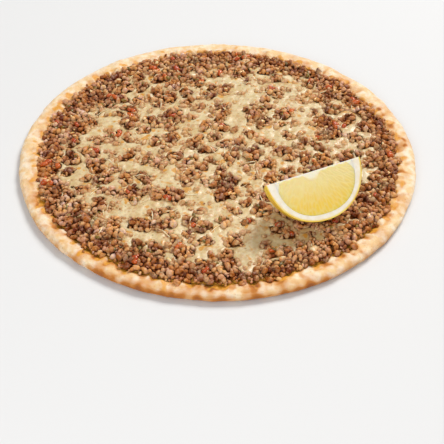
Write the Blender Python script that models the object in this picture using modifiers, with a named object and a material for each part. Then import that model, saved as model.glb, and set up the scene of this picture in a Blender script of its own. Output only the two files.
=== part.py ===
"""Cheese lahmacun: a thin round flatbread under minced meat and melted cheese, with a lemon wedge on it.

Metres, +Z up. The origin is the middle of the bread's flat underside, and the front is towards -Y.
"""
import math
import random

import bmesh
import bpy
from mathutils import Matrix, Vector, noise
from mathutils.bvhtree import BVHTree
from mathutils.geometry import delaunay_2d_cdt

GAP = 0.0003
NOISE_LAYER = 5.3

# Flatbread
BREAD_RADIUS = 0.150
BASE_RADIUS = 0.1436
FLOOR_HEIGHT = 0.0040
CROWN_RADIUS = 0.1434
CROWN_HEIGHT = 0.0073
LIP_HEIGHT = 0.0055
LIP_LEAN = 0.0004
RIM_STEPS = 168
PUFF_LENGTH = 0.0275
CRIMP_LENGTH = 0.011
PUFF_HEIGHT = 0.0010
CRIMP_HEIGHT = 0.0021
EDGE_WANDER = 0.0006

# Minced meat
MINCE_RADIUS = 0.1350
MINCE_SHIFT = 0.0018
MINCE_EDGE_WAVE = 0.0012
MINCE_EDGE_WAVE_LENGTH = 0.008
MINCE_EDGE_HEIGHT = 0.0019
CRUMB_SPACING = 0.0069
CRUMB_JITTER = 0.26
CRUMB_LOW = 0.0022
CRUMB_HIGH = 0.0040
VALLEY_DEPTH = 0.0005
CRUMB_SEED = 188

# Clumps of meat that stand out of the cheese: the large ones' places and radii, then the small ones' rule
LARGE_CLUMPS = [
    (-0.047, 0.066, 0.009), (-0.035, 0.038, 0.008), (-0.038, 0.018, 0.008), (-0.002, 0.030, 0.009),
    (0.010, 0.010, 0.009), (-0.003, 0.078, 0.011), (0.045, 0.077, 0.010), (0.032, 0.052, 0.009),
    (0.034, 0.036, 0.008), (0.090, 0.027, 0.011), (0.075, 0.041, 0.008), (-0.022, -0.025, 0.013),
    (0.003, -0.043, 0.013), (-0.042, -0.047, 0.010), (-0.070, 0.042, 0.009), (-0.045, -0.083, 0.009),
    (0.017, -0.097, 0.009), (0.027, -0.015, 0.009), (0.047, -0.027, 0.009), (-0.070, -0.050, 0.008),
    (-0.087, -0.030, 0.009), (-0.083, 0.017, 0.009), (-0.015, -0.088, 0.007), (0.031, -0.068, 0.008),
]
CLUMP_SPACING = 0.0148
CLUMP_LOW = 0.0044
CLUMP_HIGH = 0.0070
CLUMP_ROOM = 0.0034
CLUMP_WAVE = 0.0030
CLUMP_WAVE_LENGTH = 0.007

# Melted cheese
CHEESE_BED = 0.0066
CHEESE_THICK = 0.0018
CHEESE_RELIEF = 0.0005
CHEESE_LUMP_LENGTH = 0.010
CHEESE_REACH = 0.1160
CHEESE_REACH_WAVE = 0.0100
CHEESE_REACH_LENGTH = 0.021

# Lemon wedge
LEMON_RADIUS = 0.0352
LEMON_HALF_LENGTH = 0.0360
LEMON_TIP = 0.0008
LEMON_FULLNESS = 2.1
WEDGE_ANGLE = math.radians(78)
FACE_TILT = math.radians(43.8)
LEMON_TURN = math.radians(25.9)
LEMON_PLACE = Vector((0.0664, -0.0657))
LEMON_STATIONS = 26
LEMON_STEPS = 11


def clear_scene():
    for item in list(bpy.context.scene.objects):
        bpy.data.objects.remove(item, do_unlink=True)


def material(name, color, roughness):
    result = bpy.data.materials.new(name)
    result.use_nodes = True
    shader = result.node_tree.nodes["Principled BSDF"]
    shader.inputs["Base Color"].default_value = (*color, 1.0)
    shader.inputs["Roughness"].default_value = roughness
    shader.inputs["Metallic"].default_value = 0.0
    return result


def add_part(name, mesh, collection, parent, finish):
    part = bpy.data.objects.new(name, mesh)
    mesh.name = name
    mesh.materials.clear()
    mesh.materials.append(finish)
    collection.objects.link(part)
    part.parent = parent
    mesh.shade_smooth()
    mesh.set_sharp_from_angle(angle=math.radians(40))
    return part


def evaluated_mesh(part):
    graph = bpy.context.evaluated_depsgraph_get()
    return bpy.data.meshes.new_from_object(part.evaluated_get(graph))


def turned(profile, steps, helpers, angle=math.tau):
    """The mesh of a profile of (radius, height) points turned about Z."""
    mesh = bpy.data.meshes.new("profile")
    points = [(radius, 0.0, height) for radius, height in profile]
    mesh.from_pydata(points, [(i, i + 1) for i in range(len(points) - 1)], [])
    guide = bpy.data.objects.new("profile", mesh)
    helpers.objects.link(guide)
    screw = guide.modifiers.new("turn", "SCREW")
    screw.axis = "Z"
    screw.angle = angle
    screw.steps = steps
    screw.render_steps = steps
    screw.use_merge_vertices = True
    screw.merge_threshold = 0.00001
    result = evaluated_mesh(guide)
    bpy.data.objects.remove(guide, do_unlink=True)
    return result


def field(x, y, length, layer):
    """Smooth noise, about -1 to 1, with lumps of the given length. Each layer is a noise of its own."""
    return noise.noise(Vector((x / length, y / length, NOISE_LAYER * layer)))


# Flatbread

def mince_radius(angle):
    """The filling's mean edge, which lies a little towards the front."""
    return MINCE_RADIUS - MINCE_SHIFT * math.sin(angle)


def filling_edge(angle):
    """The filling's true edge, which goes in and out with the crumbs."""
    radius = mince_radius(angle)
    wave = field(radius * math.cos(angle), radius * math.sin(angle), MINCE_EDGE_WAVE_LENGTH, 1)
    return radius + MINCE_EDGE_WAVE * max(-1.0, min(1.0, 1.6 * wave))


def crust_profile():
    """The bread's half section, from the middle of its top round its rim to the middle of its underside."""
    foot = MINCE_RADIUS
    return [
        (0.0, FLOOR_HEIGHT),
        (foot, FLOOR_HEIGHT),
        (foot + LIP_LEAN, LIP_HEIGHT),
        (0.5 * (foot + CROWN_RADIUS), 0.3 * LIP_HEIGHT + 0.7 * CROWN_HEIGHT),
        (CROWN_RADIUS, CROWN_HEIGHT),
        (BREAD_RADIUS - 0.0026, CROWN_HEIGHT - 0.0008),
        (BREAD_RADIUS - 0.0003, CROWN_HEIGHT - 0.0026),
        (BREAD_RADIUS - 0.0008, 0.0021),
        (BASE_RADIUS + 0.0030, 0.0006),
        (BASE_RADIUS, 0.0),
        (0.0, 0.0),
    ]


def shape_rim(co):
    """Moves one point of the turned bread out to the filling's edge, and up or down with the puffs."""
    radius = math.hypot(co.x, co.y)
    if radius < 0.5 * MINCE_RADIUS or co.z < 0.0001:
        return co.copy()
    angle = math.atan2(co.y, co.x)
    inner = max(0.0, (BREAD_RADIUS - radius) / (BREAD_RADIUS - MINCE_RADIUS))
    radius += inner * (filling_edge(angle) + GAP - MINCE_RADIUS)
    raised = max(0.0, (co.z - FLOOR_HEIGHT) / (CROWN_HEIGHT - FLOOR_HEIGHT))
    puff = field(co.x, co.y, PUFF_LENGTH, 2)
    crimp = field(co.x, co.y, CRIMP_LENGTH, 3)
    height = co.z + raised * (PUFF_HEIGHT * puff + CRIMP_HEIGHT * crimp * inner)
    radius += (1.0 - inner) * EDGE_WANDER * puff
    return Vector((radius * math.cos(angle), radius * math.sin(angle), height))


def flatbread_mesh(helpers):
    mesh = turned(crust_profile(), RIM_STEPS, helpers)
    for vertex in mesh.vertices:
        vertex.co = shape_rim(vertex.co)
    return mesh


# Layout of the filling: one cell for each crumb of meat, or patch of cheese of that size

class Layout:
    """Crumb middles, the triangles between them, and which cells the cheese covers."""

    def __init__(self):
        dice = random.Random(CRUMB_SEED)
        ring = [edge_point(i) for i in range(RIM_STEPS)]
        loop = list(range(len(ring)))
        found = delaunay_2d_cdt(ring + crumb_middles(dice), [], [loop], 1, 1e-7)
        self.points = [Vector(p) for p in found[0]]
        self.triangles = [tuple(face) for face in found[2]]
        self.corners = [(self.points[a] + self.points[b] + self.points[c]) / 3 for a, b, c in self.triangles]
        self.sides = shared_sides(self.triangles)
        self.edge = {i for pair, faces in self.sides.items() if len(faces) == 1 for i in pair}
        self.heights = [dice.uniform(CRUMB_LOW, CRUMB_HIGH) for _ in self.points]
        clumps = meat_clumps(dice)
        self.cheese = self.joined({i for i, p in enumerate(self.points) if cheese_shows(p, clumps)})
        self.under_cheese = {t for t, face in enumerate(self.triangles) if self.cheese & set(face)}

    def joined(self, chosen):
        """The largest group of chosen cells that touch one another."""
        beside = {i: set() for i in chosen}
        for a, b in self.sides:
            if a in chosen and b in chosen:
                beside[a].add(b)
                beside[b].add(a)
        best = set()
        while beside:
            group = set()
            front = [min(beside)]
            while front:
                cell = front.pop()
                if cell in group:
                    continue
                group.add(cell)
                front.extend(sorted(beside[cell] - group))
            beside = {i: near for i, near in beside.items() if i not in group}
            if len(group) > len(best):
                best = group
        return best


def shared_sides(triangles):
    """For each side, the triangles that meet there."""
    sides = {}
    for number, (a, b, c) in enumerate(triangles):
        for pair in ((a, b), (b, c), (c, a)):
            sides.setdefault(tuple(sorted(pair)), []).append(number)
    return sides


def edge_point(step):
    angle = math.tau * step / RIM_STEPS
    radius = filling_edge(angle)
    return Vector((radius * math.cos(angle), radius * math.sin(angle)))


def scattered(spacing, dice):
    """A six-sided pattern of points all over the bread, each moved a little by chance."""
    rise = spacing * math.sqrt(0.75)
    rows = math.ceil(BREAD_RADIUS / rise)
    for row in range(-rows, rows + 1):
        for column in range(-rows, rows + 1):
            x = (column + 0.5 * (row % 2) + dice.uniform(-CRUMB_JITTER, CRUMB_JITTER)) * spacing
            y = row * rise + dice.uniform(-CRUMB_JITTER, CRUMB_JITTER) * spacing
            yield Vector((x, y))


def crumb_middles(dice):
    """The crumbs' middles, kept inside the filling's edge."""
    margin = 0.55 * CRUMB_SPACING + MINCE_EDGE_WAVE
    spots = scattered(CRUMB_SPACING, dice)
    return [p for p in spots if p.length + margin < mince_radius(math.atan2(p.y, p.x))]


def meat_clumps(dice):
    """Middles and radii of the clumps: the large ones, and small ones by chance where there is room."""
    large = [(Vector((x, y)), radius) for x, y, radius in LARGE_CLUMPS]
    small = []
    for middle in scattered(CLUMP_SPACING, dice):
        radius = dice.uniform(CLUMP_LOW, CLUMP_HIGH)
        if all((middle - place).length > size + radius + CLUMP_ROOM for place, size in large):
            small.append((middle, radius))
    return large + small


def cheese_shows(point, clumps):
    """Whether cheese lies here: between the clumps, and inside the outer ring of meat."""
    reach = CHEESE_REACH + CHEESE_REACH_WAVE * field(point.x, point.y, CHEESE_REACH_LENGTH, 4)
    if point.length > reach:
        return False
    wave = CLUMP_WAVE * field(point.x, point.y, CLUMP_WAVE_LENGTH, 5)
    return all((point - middle).length > radius + wave for middle, radius in clumps)


# Minced meat

def mince_mesh(layout):
    """A slab whose top has a bump for each crumb, and lies flat where the cheese covers it."""
    bm = bmesh.new()
    bottom = FLOOR_HEIGHT + GAP
    tops = [bm.verts.new((p.x, p.y, top_height(layout, i))) for i, p in enumerate(layout.points)]
    dips = []
    for number, corner in enumerate(layout.corners):
        height = CHEESE_BED if number in layout.under_cheese else CHEESE_BED + VALLEY_DEPTH
        dips.append(bm.verts.new((corner.x, corner.y, height)))
    flat = []
    for (a, b), faces in layout.sides.items():
        if len(faces) == 1:
            bm.faces.new((tops[a], tops[b], dips[faces[0]]))
            continue
        for cell in (a, b):
            face = bm.faces.new((tops[cell], dips[faces[0]], dips[faces[1]]))
            if cell in layout.cheese:
                flat.append(face)
    merge_flat(bm, flat)
    close_below(bm, bottom)
    return finished(bm, "mince")


def top_height(layout, index):
    """The height of a cell's middle: a crumb's top, the low outer edge, or the flat bed of the cheese."""
    if index in layout.edge:
        return FLOOR_HEIGHT + GAP + MINCE_EDGE_HEIGHT
    if index in layout.cheese:
        return CHEESE_BED
    return CHEESE_BED + VALLEY_DEPTH + layout.heights[index]


def merge_flat(bm, faces):
    """Joins flat neighbours into larger faces."""
    inside = set(faces)
    edges = [edge for edge in bm.edges if edge.link_faces and inside.issuperset(edge.link_faces)]
    verts = [vert for vert in bm.verts if vert.link_faces and inside.issuperset(vert.link_faces)]
    bmesh.ops.dissolve_limit(bm, angle_limit=math.radians(0.5), use_dissolve_boundaries=False,
                             verts=verts, edges=edges, delimit=set())


def close_below(bm, bottom):
    """Drops a wall from the open edge of a top to the given height, and caps it."""
    rim = [edge for edge in bm.edges if len(edge.link_faces) == 1]
    wall = bmesh.ops.extrude_edge_only(bm, edges=rim)["geom"]
    for item in wall:
        if isinstance(item, bmesh.types.BMVert):
            item.co.z = bottom
    lower = [edge for edge in bm.edges if len(edge.link_faces) == 1]
    bmesh.ops.contextual_create(bm, geom=lower)


def finished(bm, name):
    bmesh.ops.triangulate(bm, faces=bm.faces[:])
    bmesh.ops.recalc_face_normals(bm, faces=bm.faces[:])
    mesh = bpy.data.meshes.new(name)
    bm.to_mesh(mesh)
    bm.free()
    return mesh


# Melted cheese

def cheese_mesh(layout):
    """A net of melted cheese, flat below and crowned above, thin at its edges, with holes for the meat."""
    bm = bmesh.new()
    bottom = CHEESE_BED + GAP
    crowns = {}
    for index in sorted(layout.cheese):
        point = layout.points[index]
        lump = CHEESE_RELIEF * field(point.x, point.y, CHEESE_LUMP_LENGTH, 6)
        crowns[index] = bm.verts.new((point.x, point.y, bottom + CHEESE_THICK + lump))
    rims = {}
    for number in sorted(layout.under_cheese):
        corner = layout.corners[number]
        rims[number] = bm.verts.new((corner.x, corner.y, bottom))
    cover_above(bm, layout, crowns, rims)
    merge_flat(bm, cover_below(bm, layout, rims))
    return finished(bm, "cheese")


def cover_above(bm, layout, crowns, rims):
    """The cheese's top: from crown to crown inside it, and from crown to rim along its edges."""
    for number, face in enumerate(layout.triangles):
        covered = [crowns[i] for i in face if i in layout.cheese]
        if len(covered) == 3:
            bm.faces.new(covered)
        elif len(covered) == 2:
            bm.faces.new((*covered, rims[number]))
    for pair, faces in layout.sides.items():
        covered = [crowns[i] for i in pair if i in layout.cheese]
        if len(covered) == 1:
            bm.faces.new((covered[0], rims[faces[0]], rims[faces[1]]))


def cover_below(bm, layout, rims):
    """The cheese's flat underside, one face for each cell."""
    around = {cell: [] for cell in sorted(layout.cheese)}
    for pair, faces in layout.sides.items():
        for cell in pair:
            if cell in around:
                around[cell].append(faces)
    return [bm.faces.new([rims[i] for i in chained(pairs)]) for pairs in around.values()]


def chained(pairs):
    """The corners of one cell in order, from the pairs that are joined by its sides."""
    near = {}
    for a, b in pairs:
        near.setdefault(a, []).append(b)
        near.setdefault(b, []).append(a)
    start = min(near)
    order = [start]
    before, here = start, near[start][0]
    while here != start:
        order.append(here)
        onward = near[here][0] if near[here][0] != before else near[here][1]
        before, here = here, onward
    return order


# Lemon wedge

def lemon_profile():
    """A lemon's half outline, from its upper end down to its lower end on the axis."""
    points = []
    for station in range(LEMON_STATIONS + 1):
        turn = math.pi * (0.5 - station / LEMON_STATIONS)
        power = 2.0 / LEMON_FULLNESS
        along = math.copysign(abs(math.sin(turn)) ** power, turn)
        radius = LEMON_RADIUS * abs(math.cos(turn)) ** power
        height = LEMON_HALF_LENGTH * along + math.copysign(LEMON_TIP * abs(along) ** 14, along)
        if station in (0, LEMON_STATIONS):
            radius = 0.0
        points.append((radius, height))
    return points


def lemon_mesh(helpers):
    """A wedge of the turned lemon, its axis along X, its near cut face falling towards -Y."""
    mesh = turned(lemon_profile(), LEMON_STEPS, helpers, WEDGE_ANGLE)
    bm = bmesh.new()
    bm.from_mesh(mesh)
    open_edges = [edge for edge in bm.edges if len(edge.link_faces) == 1]
    poles = sorted(bm.verts, key=lambda vert: vert.co.z)
    ridge = bm.edges.new((poles[0], poles[-1]))
    for turn in (0.0, WEDGE_ANGLE):
        side = [e for e in open_edges if on_cut(e, turn)]
        bmesh.ops.contextual_create(bm, geom=side + [ridge])
    lay = Matrix.Rotation(FACE_TILT - math.pi / 2, 4, "X") @ Matrix.Rotation(math.pi / 2, 4, "Y")
    bmesh.ops.transform(bm, matrix=lay, verts=bm.verts[:])
    return finished(bm, "lemon_wedge")


def on_cut(edge, turn):
    """Whether an edge lies on the cut face at the given turn of the screw."""
    middle = (edge.verts[0].co + edge.verts[1].co) / 2
    return abs(math.atan2(middle.y, middle.x) - turn) < 0.01


def resting_height(wedge, toppings):
    """The height for the wedge's origin that leaves a small gap to the toppings under it."""
    room = wedge.location.z
    wedge_tree = tree_of(wedge)
    for part in toppings:
        below = tree_of(part)
        spots = [wedge.matrix_world @ vertex.co for vertex in wedge.data.vertices]
        rises = [wedge_tree.ray_cast(v.co, Vector((0.0, 0.0, 1.0)))[3] for v in part.data.vertices]
        falls = [below.ray_cast(spot, Vector((0.0, 0.0, -1.0)))[3] for spot in spots]
        room = min([room] + [reach for reach in rises + falls if reach is not None])
    return wedge.location.z - room + GAP


def tree_of(part):
    """The part's faces, where they stand, ready for measuring distances."""
    bm = bmesh.new()
    bm.from_mesh(part.data)
    bm.transform(part.matrix_world)
    tree = BVHTree.FromBMesh(bm)
    bm.free()
    return tree


def build():
    clear_scene()
    parts = bpy.data.collections.new("cheese_lahmacun")
    helpers = bpy.data.collections.new("guides")
    for group in (parts, helpers):
        bpy.context.scene.collection.children.link(group)
    root = bpy.data.objects.new("lahmacun_root", None)
    parts.objects.link(root)
    layout = Layout()
    dough = material("baked_dough", (0.83, 0.63, 0.39), 0.8)
    meat = material("cooked_mince", (0.33, 0.17, 0.11), 0.5)
    melt = material("melted_cheese", (0.72, 0.60, 0.36), 0.45)
    fruit = material("lemon", (0.86, 0.70, 0.20), 0.35)
    add_part("flatbread", flatbread_mesh(helpers), parts, root, dough)
    mince = add_part("mince", mince_mesh(layout), parts, root, meat)
    cheese = add_part("cheese", cheese_mesh(layout), parts, root, melt)
    wedge = add_part("lemon_wedge", lemon_mesh(helpers), parts, root, fruit)
    wedge.location = (LEMON_PLACE.x, LEMON_PLACE.y, 4 * LEMON_RADIUS)
    wedge.rotation_euler = (0.0, 0.0, LEMON_TURN)
    bpy.context.view_layer.update()
    wedge.location.z = resting_height(wedge, (mince, cheese))
    bpy.context.view_layer.update()


build()
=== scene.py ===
"""The looks of a cheese lahmacun: baked dough, minced meat with bits, melted cheese and a lemon wedge."""
import math

import bmesh
import bpy
import numpy as np
from mathutils import Matrix, Vector
from mathutils.bvhtree import BVHTree


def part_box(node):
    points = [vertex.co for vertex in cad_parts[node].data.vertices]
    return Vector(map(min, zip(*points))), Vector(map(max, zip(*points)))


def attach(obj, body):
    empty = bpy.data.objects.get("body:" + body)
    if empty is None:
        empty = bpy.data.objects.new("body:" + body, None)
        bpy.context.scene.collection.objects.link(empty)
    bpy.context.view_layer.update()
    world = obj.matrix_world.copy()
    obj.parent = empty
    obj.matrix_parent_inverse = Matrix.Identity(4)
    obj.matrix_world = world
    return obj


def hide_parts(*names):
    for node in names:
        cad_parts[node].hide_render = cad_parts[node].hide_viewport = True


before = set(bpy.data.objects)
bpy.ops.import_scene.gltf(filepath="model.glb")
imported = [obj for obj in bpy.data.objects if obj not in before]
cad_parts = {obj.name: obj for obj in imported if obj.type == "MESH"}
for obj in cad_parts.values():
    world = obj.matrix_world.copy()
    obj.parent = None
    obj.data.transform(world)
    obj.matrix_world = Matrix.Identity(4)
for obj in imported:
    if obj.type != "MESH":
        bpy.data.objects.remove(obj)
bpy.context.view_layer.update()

SEED = 41
ABOVE_ALL = 0.03
DOWN = Vector((0.0, 0.0, -1.0))

# Dough
BREAD_RADIUS = 0.150
RIM_STEPS = 1150
RIM_START = 0.1338
DOUGH_FLOOR = 0.0040
EDGE_LEVEL = 0.0052
LEVEL_BINS = 41

# Plan of the toppings
GRID_STEP = 0.0009
PLAN_REACH = 0.1404
MELT_SOFTNESS = 0.0017
ISLAND_SIZE = 0.0145
ISLAND_RISE = 0.0006

# Minced meat
CORE_BOTTOM = 0.0043
BED_UNDER_CHEESE = 0.0060
BED_UNDER_MEAT = 0.0067
CORE_STEPS = 480
CORE_RINGS = 74
COARSE_CRUMB = (0.0015, 0.0031)
FINE_CRUMB = (0.0008, 0.0014)
UPPER_CRUMB = (0.0011, 0.0023)
COARSE_TRIES = 12000
FINE_TRIES = 45000
UPPER_TRIES = 5200
CRUMB_SQUEEZE = 0.61
FINE_SQUEEZE = 0.70
CRUMB_CELL = 0.0030
CRUMB_CEILING = 0.0118
CRUMB_KNOBS = 11
MOST_WRINKLE = 0.0023
STRAY_COUNT = 16
SHAPES_PER_KIND = 12
CRUMB_KINDS = (("coarse", 0.0020, 1.0), ("middle", 0.0015, 0.0020), ("small", 0.0011, 0.0015),
               ("fine", 0.0, 0.0011))

# The filling's edge
EDGE_SPILL = 0.0041
EDGE_LAP = 0.0024

# Melted cheese
CHEESE_DEPTH = 0.0021
CHEESE_FILM = 0.00025
CHEESE_SHELL = 0.0009
CHEESE_EASE = 0.00035
STRAND_COUNT = 70
STRAND_STEPS = 12
STRAND_RADIUS = 0.00044

# Bits among the mince
PEPPER_SITES = (
    (-0.033, 0.132), (-0.053, 0.107), (0.045, 0.083), (0.109, 0.065), (-0.015, 0.025), (-0.035, 0.043),
    (-0.069, 0.046), (-0.078, 0.019), (-0.130, -0.017), (-0.126, -0.037), (0.130, -0.001), (-0.015, -0.083),
    (-0.054, -0.118), (-0.007, -0.125), (0.024, -0.113), (0.093, 0.033), (0.038, 0.095), (0.054, 0.046))
PARSLEY_SITES = ((-0.126, 0.051), (0.090, 0.100), (0.052, 0.034), (-0.103, -0.005), (-0.123, 0.023))
SITE_SPREAD = 0.0018

# Lemon wedge
LEMON_RADIUS = 0.0352
LEMON_HALF_LENGTH = 0.0360
LEMON_TIP = 0.0008
LEMON_FULLNESS = 2.1
LEMON_STATIONS = 121
WEDGE_ANGLE = math.radians(78)
FACE_TILT = math.radians(43.8)
LEMON_TURN = math.radians(25.9)
LEMON_PLACE = (0.0664, -0.0657)
PITH = 0.0046
PITH_AT_ENDS = (0.0060, 0.0054)
CORNER_DEPTH = 0.0105
CORNER_ROUNDING = (0.26, 0.36)
ZEST = (0.0003, 0.0019)
ZEST_STEPS = 61
PITH_STEPS = 7
FLESH_LAP = 0.0002
FLESH_FULLNESS = 2.3
FLESH_STATIONS = 150
FLESH_STEPS = 84
FLESH_ENDS = (-LEMON_HALF_LENGTH + PITH_AT_ENDS[0], LEMON_HALF_LENGTH - PITH_AT_ENDS[1])
FLESH_MIDDLE = 0.5 * (FLESH_ENDS[0] + FLESH_ENDS[1])
FLESH_HALF = 0.5 * (FLESH_ENDS[1] - FLESH_ENDS[0])
CUT_EDGE_ANGLE = math.radians(45)

# Setting
FLOOR_REACH = 4.0
FLOOR_LEVEL = -0.0001
FLOOR_TONE = (0.758, 0.763, 0.775, 1.0)
SKY_STRENGTH = 0.36
CAMERA_RISE = math.radians(42.9)
CAMERA_DISTANCE = 0.820
CAMERA_DROP = 0.050
CAMERA_ROLL = 0.0096
CAMERA_TARGET = (0.0037, 0.0, 0.0033)
CAMERA_LENS = 87.3


# Helpers

def screen(red, green, blue):
    """A colour as it shows on a screen, 0 to 255, in Blender's linear values."""
    return tuple((max(c, 1) / 255) ** 2.2 for c in (red, green, blue)) + (1.0,)


def smooth(value, low, high):
    """0 below low, 1 above high, and an even curve between."""
    share = np.clip((value - low) / (high - low), 0.0, 1.0)
    return share * share * (3.0 - 2.0 * share)


def lumps(x, y, length, layer):
    """Smooth noise over the plan, about -1 to 1, in lumps of a length. Each layer is its own noise."""
    size = 512
    turn = np.random.default_rng(SEED + layer).uniform(0.0, math.tau, (size, size))
    u, v = np.asarray(x) / length + 0.37 * layer, np.asarray(y) / length - 0.21 * layer
    column, row = np.floor(u).astype(int), np.floor(v).astype(int)
    across, up = u - column, v - row

    def corner(right, top):
        angle = turn[(column + right) % size, (row + top) % size]
        return np.cos(angle) * (across - right) + np.sin(angle) * (up - top)

    ease_x, ease_y = (t ** 3 * (t * (6.0 * t - 15.0) + 10.0) for t in (across, up))
    lower, upper = (corner(0, top) * (1.0 - ease_x) + corner(1, top) * ease_x for top in (0, 1))
    return 1.5 * (lower * (1.0 - ease_y) + upper * ease_y)


def cells(u, v, layer):
    """Irregular cells of about unit size: 0 on their borders and more inside, and each one's number."""
    jitter = np.random.default_rng(SEED + layer).uniform(0.0, 1.0, (128, 64, 3))
    nearest, second, number = np.full(u.shape, 9.0), np.full(u.shape, 9.0), np.zeros(u.shape)
    column, row = np.floor(u).astype(int), np.floor(v).astype(int)
    for a in (-1, 0, 1):
        for b in (-1, 0, 1):
            own = jitter[(column + a) % 128, (row + b) % 64]
            gap = np.hypot(column + a + own[..., 0] - u, row + b + own[..., 1] - v)
            closer = gap < nearest
            second = np.where(closer, nearest, np.minimum(second, gap))
            number = np.where(closer, own[..., 2], number)
            nearest = np.where(closer, gap, nearest)
    return second - nearest, number


def mesh_piece(name, points, faces, finish, edges=()):
    """A new object at the origin, with its place in its mesh."""
    mesh = bpy.data.meshes.new(name)
    mesh.from_pydata(np.asarray(points).tolist(), edges, [list(map(int, face)) for face in faces])
    piece = bpy.data.objects.new(name, mesh)
    bpy.context.scene.collection.objects.link(piece)
    mesh.shade_smooth()
    mesh.materials.append(finish)
    return piece


def store(piece, name, values, kind="FLOAT"):
    """A value for each vertex, which the piece's material or its geometry group reads."""
    layer = piece.data.attributes.new(name, kind, "POINT")
    numbers = np.asarray(values, np.int32 if kind == "INT" else np.float32).ravel()
    layer.data.foreach_set("vector" if kind == "FLOAT_VECTOR" else "value", numbers)


def drop(piece, *names):
    """Takes stored values off a piece once nothing reads them."""
    for name in names:
        if name in piece.data.attributes:
            piece.data.attributes.remove(piece.data.attributes[name])


def vertex_places(piece):
    flat = np.zeros(3 * len(piece.data.vertices))
    piece.data.vertices.foreach_get("co", flat)
    return flat.reshape(-1, 3)


def tidy_shell(piece, reach=1e-6):
    """Merges doubles, closes the poles and turns every face outwards."""
    bm = bmesh.new()
    bm.from_mesh(piece.data)
    bmesh.ops.remove_doubles(bm, verts=bm.verts[:], dist=reach)
    bmesh.ops.dissolve_degenerate(bm, edges=bm.edges[:], dist=reach)
    bmesh.ops.recalc_face_normals(bm, faces=bm.faces[:])
    bm.to_mesh(piece.data)
    bm.free()
    piece.data.shade_smooth()


def ray_tree(piece):
    """A piece's faces, ready for rays."""
    mesh = piece.data
    return BVHTree.FromPolygons([v.co for v in mesh.vertices], [p.vertices for p in mesh.polygons])


# Nodes

class Nodes:
    """A node tree with short ways to add to it. An input is linked to a socket or set to a value."""

    def __init__(self, tree):
        self.tree = tree

    def plug(self, value, socket):
        if isinstance(value, bpy.types.NodeSocket):
            self.tree.links.new(value, socket)
        else:
            socket.default_value = value

    def add(self, kind, inputs=None, **settings):
        made = self.tree.nodes.new(kind)
        for key, value in settings.items():
            setattr(made, key, value)
        for key, value in (inputs or {}).items():
            self.plug(value, made.inputs[key])
        return made

    def number(self, operation, first, second, clamp=False):
        inputs = {0: first, 1: second}
        return self.add("ShaderNodeMath", inputs, operation=operation, use_clamp=clamp).outputs[0]

    def times(self, first, second, clamp=False):
        return self.number("MULTIPLY", first, second, clamp)

    def plus(self, first, second):
        return self.number("ADD", first, second)

    def minus(self, first, second):
        return self.number("SUBTRACT", first, second)

    def noise(self, place, scale, detail, layer=None):
        """Noise from 0 to 1. Where it has a layer, it is a slice of noise in four dimensions."""
        inputs = {"Vector": place, "Scale": scale, "Detail": detail}
        if layer is None:
            return self.add("ShaderNodeTexNoise", inputs).outputs["Fac"]
        inputs["W"] = layer
        return self.add("ShaderNodeTexNoise", inputs, noise_dimensions="4D").outputs["Fac"]

    def eased(self, value, low, high):
        """0 below low, 1 above high, and an even curve between."""
        inputs = {"Value": value, "From Min": low, "From Max": high}
        return self.add("ShaderNodeMapRange", inputs, interpolation_type="SMOOTHSTEP").outputs[0]

    def object_place(self):
        return self.add("ShaderNodeTexCoord").outputs["Object"]


class Group(Nodes):
    """A node group. Each input has a number, or else the name of its kind of socket."""

    def __init__(self, name, kind, inputs, output, output_kind):
        super().__init__(bpy.data.node_groups.new(name, kind))
        sockets = self.tree.interface
        for label, value in inputs.items():
            plain = not isinstance(value, str)
            socket = type(value).__name__.capitalize() if plain else value
            made = sockets.new_socket(name=label, in_out="INPUT", socket_type=f"NodeSocket{socket}")
            if plain:
                made.default_value = value
        sockets.new_socket(name=output, in_out="OUTPUT", socket_type=f"NodeSocket{output_kind}")
        self.given = self.tree.nodes.new("NodeGroupInput").outputs
        self.result = self.tree.nodes.new("NodeGroupOutput").inputs[0]

    def ended(self, value):
        """The whole group, with this value as its output."""
        self.plug(value, self.result)
        return self.tree


class GeometryGroup(Group):
    """A group that makes geometry. Its last input is the material that it sets."""

    def __init__(self, name, inputs, output):
        super().__init__(name, "GeometryNodeTree", inputs | {"Finish": "Material"}, output, "Geometry")

    def vector(self, operation, first, second=None):
        """A step of vector arithmetic. SCALE takes a number as its second input."""
        inputs = {0: first}
        if second is not None:
            inputs["Scale" if operation == "SCALE" else 1] = second
        made = self.add("ShaderNodeVectorMath", inputs, operation=operation)
        return made.outputs["Value" if operation == "LENGTH" else "Vector"]

    def upright(self, height):
        return self.add("ShaderNodeCombineXYZ", {"Z": height}).outputs[0]

    def place(self):
        return self.add("GeometryNodeInputPosition").outputs[0]

    def normal(self):
        return self.add("GeometryNodeInputNormal").outputs[0]

    def stored(self, name, kind="FLOAT"):
        made = self.add("GeometryNodeInputNamedAttribute", {"Name": name}, data_type=kind)
        return made.outputs["Attribute"]

    def waves(self, place, length, layer):
        """Noise about zero with lumps of the given length."""
        return self.minus(self.noise(place, self.number("DIVIDE", 1.0, length), 1.0, layer), 0.5)

    def moved(self, geometry, **where):
        return self.add("GeometryNodeSetPosition", {"Geometry": geometry} | where).outputs[0]

    def realized(self, geometry):
        return self.add("GeometryNodeRealizeInstances", {"Geometry": geometry.outputs[0]}).outputs[0]

    def dressed(self, geometry):
        """The whole group, with the given material set on this geometry."""
        inputs = {"Geometry": geometry, "Material": self.given["Finish"]}
        return self.ended(self.add("GeometryNodeSetMaterial", inputs).outputs[0])


# Effects that several finishes share

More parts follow.
